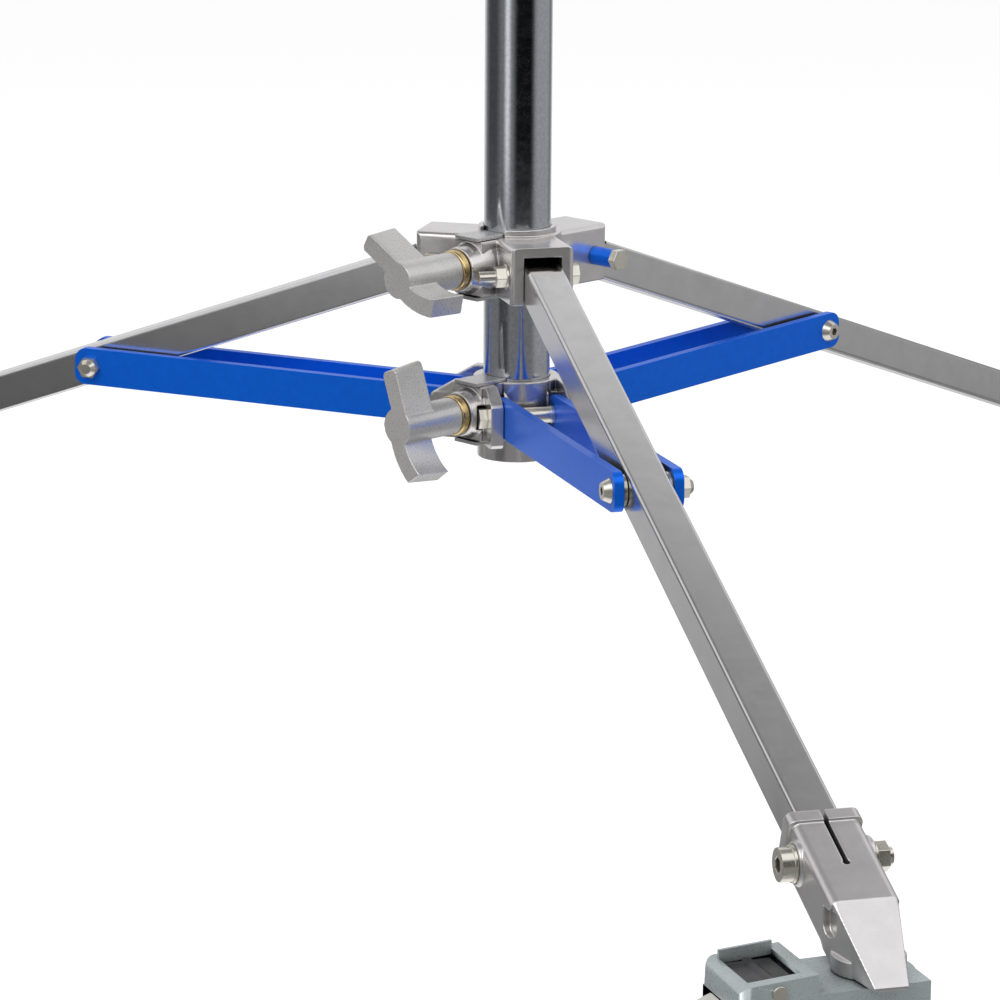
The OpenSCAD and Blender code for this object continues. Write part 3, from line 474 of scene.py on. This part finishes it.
def make_brace_collar():
    height = joints["brace_a_hinge"]["pos_m"][2] / MM
    parts = []
    for third in range(3):
        turn = Matrix.Rotation(math.radians(FRONT_TURN + 120 * third), 4, "Z")
        place = Matrix.Translation((0, 0, height)) @ turn
        for side in (-1, 1):
            walls = [[(x, y * side, z) for x, z in EAR_TOP] for y in (EAR_IN, EAR_OUT)]
            parts.append(solid("ear", walls, place))
    outline = arc((0, 0), SKIRT_R, SCREW_TURN - SKIRT_GAP, SCREW_TURN + SKIRT_GAP)
    outline += arc((0, 0), COLUMN_R, SCREW_TURN + SKIRT_GAP, SCREW_TURN - SKIRT_GAP)
    levels = [[(x, y, z) for x, y in outline] for z in SKIRT_Z]
    parts.append(solid("skirt", levels, Matrix.Translation((0, 0, height))))
    return cast("brace_collar", join(copy_mesh("brace_collar", "brace_collar_cast"), *parts))


# How much of the foot plug's rim the scene leaves off, in millimetres
PLUG_RIM = 2.5


def make_foot_plug():
    """The plug's thinner rim, which the skirt hides nearly whole."""
    node = "column_foot_plug"
    obj = copy_mesh(node, node + "_edged")
    low = min(v.co.z for v in obj.data.vertices) + PLUG_RIM * MM
    for v in obj.data.vertices:
        v.co.z = max(v.co.z, low)
    return edged(node, obj, width=0.2)


# The hood of a caster's fork, its outer corners rounded as a pressing's are and its top sloping
# down to the end, in millimetres from the swivel and above the floor
CASTER_TURN = -85
HOOD_FROM, HOOD_END = 39, 84
HOOD_HALF = 26
HOOD_TOP = 161
HOOD_DEPTH = 30
HOOD_ROUND = 7
HOOD_DROP = 3
NEAR = 0.6


def make_fork(node, third):
    obj = copy_mesh(node, node + "_edged")
    swivel = joints[node.replace("_fork", "_swivel")]["pos_m"]
    turn = Matrix.Rotation(math.radians(FRONT_TURN + 120 * third + CASTER_TURN), 4, "Z")
    place = Matrix.Translation((swivel[0] / MM, swivel[1] / MM, 0)) @ turn
    back = place.inverted()
    bm = bmesh.new()
    bm.from_mesh(obj.data)
    bmesh.ops.dissolve_limit(bm, angle_limit=FLAT_ANGLE, verts=bm.verts, edges=bm.edges)

    def faces_on(edge):
        """How many of the hood's outer faces the edge lies on."""
        ends = [back @ (v.co / MM) for v in edge.verts]
        on_end = all(abs(e.x - HOOD_END) < NEAR for e in ends)
        on_top = all(abs(e.z - HOOD_TOP) < NEAR and e.x > HOOD_FROM for e in ends)
        on_side = all(HOOD_HALF - NEAR < abs(e.y) < HOOD_HALF + NEAR and e.x > HOOD_FROM for e in ends)
        return on_end + on_top + on_side

    corners = [edge for edge in bm.edges if faces_on(edge) == 2]
    bmesh.ops.bevel(bm, geom=corners, offset=HOOD_ROUND * MM, segments=5, profile=0.5, affect="EDGES")
    bm.normal_update()
    for v in bm.verts:
        at = back @ (v.co / MM)
        if at.x > HOOD_FROM and at.z > HOOD_TOP - HOOD_DEPTH:
            share = (at.x - HOOD_FROM) / (HOOD_END - HOOD_FROM)
            v.co = MM * (place @ Vector((at.x, at.y, at.z - HOOD_DROP * share)))
    bm.to_mesh(obj.data)
    bm.free()
    return edged(node, obj, width=0.6, angle=50)


plain_castings = ["leg_collar", "column_head", "riser_1_head", "receiver"]
for node in nodes:
    if node.endswith("_t_handle"):
        make_handle(node)
    elif node == "brace_collar":
        make_brace_collar()
    elif node == "column_foot_plug":
        make_foot_plug()
    elif node.endswith("_fork"):
        make_fork(node, "abc".index(node[len("caster_")]))
    elif node in plain_castings or node.endswith("_casting"):
        cast(node, copy_mesh(node, node + "_cast"))
    elif node.startswith("leg_") and node.endswith("_tube"):
        cut_leg(node)
    else:
        edged(node, copy_mesh(node, node + "_edged"))


# Studio: floor, world and lamps, sizes in metres and lamps in watts
FLOOR_SIZE = 40
FLOOR_Z = -0.0005
FLOOR_COLOUR = (0.9, 0.9, 0.9, 1)
FLOOR_GLOW = 0.45
WHITE = (1, 1, 1, 1)
WORLD_LIGHT = 0.55
LAMP_AIM = (0, 0, 0.4)
LAMPS = {"key": ((-1.6, -1.6, 2.6), 1.4, 40), "fill": ((2.2, -1.2, 2.2), 1.6, 14)}


def seen_factor(tree):
    """1 where the ray comes from the camera, a mirror or glass."""
    path = tree.nodes.new("ShaderNodeLightPath")
    total = path.outputs["Is Camera Ray"]
    for name in ("Is Glossy Ray", "Is Transmission Ray"):
        add = tree.nodes.new("ShaderNodeMath")
        add.operation = "MAXIMUM"
        tree.links.new(total, add.inputs[0])
        tree.links.new(path.outputs[name], add.inputs[1])
        total = add.outputs[0]
    return total


def make_floor():
    bpy.ops.mesh.primitive_plane_add(size=FLOOR_SIZE, location=(0, 0, FLOOR_Z))
    floor = bpy.context.object
    floor.name = "floor"
    made = bpy.data.materials.new("floor")
    made.use_nodes = True
    tree = made.node_tree
    shade = tree.nodes["Principled BSDF"]
    shade.inputs["Base Color"].default_value = FLOOR_COLOUR
    shade.inputs["Roughness"].default_value = 0.9
    shade.inputs["Specular IOR Level"].default_value = 0.0
    glow = tree.nodes.new("ShaderNodeEmission")
    glow.inputs["Color"].default_value = WHITE
    glow.inputs["Strength"].default_value = FLOOR_GLOW
    add = tree.nodes.new("ShaderNodeAddShader")
    mix = tree.nodes.new("ShaderNodeMixShader")
    tree.links.new(shade.outputs[0], add.inputs[0])
    tree.links.new(glow.outputs[0], add.inputs[1])
    tree.links.new(seen_factor(tree), mix.inputs[0])
    tree.links.new(shade.outputs[0], mix.inputs[1])
    tree.links.new(add.outputs[0], mix.inputs[2])
    tree.links.new(mix.outputs[0], tree.nodes["Material Output"].inputs["Surface"])
    floor.data.materials.append(made)
    # Reflections show the rooms below instead
    floor.visible_glossy = False


def make_world():
    world = bpy.data.worlds.new("studio")
    bpy.context.scene.world = world
    world.use_nodes = True
    tree = world.node_tree
    tree.nodes.clear()
    mix = tree.nodes.new("ShaderNodeMix")
    mix.data_type = "FLOAT"
    mix.inputs[2].default_value = WORLD_LIGHT
    mix.inputs[3].default_value = 1.0
    tree.links.new(seen_factor(tree), mix.inputs[0])
    back = tree.nodes.new("ShaderNodeBackground")
    back.inputs["Color"].default_value = WHITE
    tree.links.new(mix.outputs[0], back.inputs["Strength"])
    out = tree.nodes.new("ShaderNodeOutputWorld")
    tree.links.new(back.outputs[0], out.inputs["Surface"])


def make_lamp(name, at, size, power):
    data = bpy.data.lights.new(name, "AREA")
    data.shape = "RECTANGLE"
    data.size = size
    data.size_y = size
    data.energy = power
    lamp = put(name, data)
    lamp.location = at
    lamp.rotation_mode = "QUATERNION"
    lamp.rotation_quaternion = (Vector(LAMP_AIM) - Vector(at)).to_track_quat("-Z", "Y")


# The rooms that reflections show instead of the floor and the world, each with its radius and the height
# of its middle in metres. The wider one is for the risers when they stand out above the first.
ROOMS = {"room": (1.3, 0.35), "outer_room": (4.5, 1.5)}

# Plain tones, as sRGB values out of 255, and how bright the metal that reflects them is
SRGB_TOP = 255
SRGB_GAMMA = 2.2
FLOOR_TONE = 225
WALL_TONE = 105
CEILING_TONE = 195
TOP_TONE = 95
METAL_TONE = 0.72

# The bare room from the bottom up: the rise in degrees and the tone there
ROOM_LEVELS = [
    (-90, FLOOR_TONE), (-62, FLOOR_TONE), (-40, WALL_TONE), (12, WALL_TONE),
    (22, CEILING_TONE), (54, CEILING_TONE), (64, TOP_TONE), (90, TOP_TONE),
]

# Soft boxes and dark flags on the wall: turn and rise of the middle, reach round and up and soft edge,
# all in degrees, and the tone
PANELS = {
    "backdrop": ((80, -5), (22, 25), 25, 195),
    "right_wall": ((350, 0), (25, 12), 20, 140),
    "left_flag": ((160, 4), (15, 9), 20, 65),
    "side_box": ((218, 4), (3, 9), 12, 210),
    "front_flag": ((275, 4), (22, 9), 16, 20),
    "low_flag": ((208, -26), (10, 17), 12, 60),
    "front_box": ((285, 38), (25, 16), 25, 230),
}
RISE_EDGE = 4
ROOM_STEP = 3
ROOM_COOL = 1.03


def between(stops, at):
    for (a, tone_a), (b, tone_b) in zip(stops, stops[1:]):
        if a <= at <= b:
            return tone_a + (tone_b - tone_a) * (at - a) / (b - a)


def fade(apart, reach, edge):
    """1 within the reach, falling to 0 across the soft edge."""
    return min(1, max(0, (reach + edge - apart) / edge))


def room_tone(turn, rise):
    tone = between(ROOM_LEVELS, rise)
    for (turn_at, rise_at), (reach_round, reach_up), edge, panel_tone in PANELS.values():
        apart = abs((turn - turn_at + 180) % 360 - 180)
        cover = fade(apart, reach_round, edge) * fade(abs(rise - rise_at), reach_up, RISE_EDGE)
        tone += (panel_tone - tone) * cover
    return (tone / SRGB_TOP) ** SRGB_GAMMA / METAL_TONE


def make_room(name, radius, height):
    turns = range(0, 361, ROOM_STEP)
    rises = range(-90, 91, ROOM_STEP)
    verts, tones, faces = [], [], []
    for rise in rises:
        for turn in turns:
            e, f = math.radians(rise), math.radians(turn)
            side = radius * math.cos(e)
            verts.append((side * math.cos(f), side * math.sin(f), height + radius * math.sin(e)))
            tones.append(room_tone(turn, rise))
    for k in range(len(rises) - 1):
        for i in range(len(turns) - 1):
            at = k * len(turns) + i
            faces.append((at, at + 1, at + len(turns) + 1, at + len(turns)))
    data = bpy.data.meshes.new(name)
    data.from_pydata(verts, [], faces)
    colours = data.color_attributes.new("tone", "FLOAT_COLOR", "POINT")
    for i, tone in enumerate(tones):
        colours.data[i].color = (tone, tone, tone * ROOM_COOL, 1)
    obj = put(name, data)
    made = bpy.data.materials.new(name)
    made.use_nodes = True
    tree = made.node_tree
    tree.nodes.clear()
    tone = tree.nodes.new("ShaderNodeAttribute")
    tone.attribute_name = "tone"
    glow = tree.nodes.new("ShaderNodeEmission")
    out = tree.nodes.new("ShaderNodeOutputMaterial")
    tree.links.new(tone.outputs["Color"], glow.inputs["Color"])
    tree.links.new(glow.outputs[0], out.inputs["Surface"])
    data.materials.append(made)
    for ray in ("camera", "diffuse", "shadow", "transmission", "volume_scatter"):
        setattr(obj, "visible_" + ray, False)


make_floor()
make_world()
for lamp, (at, lamp_size, power) in LAMPS.items():
    make_lamp(lamp, at, lamp_size, power)
for room, (radius, height) in ROOMS.items():
    make_room(room, radius, height)
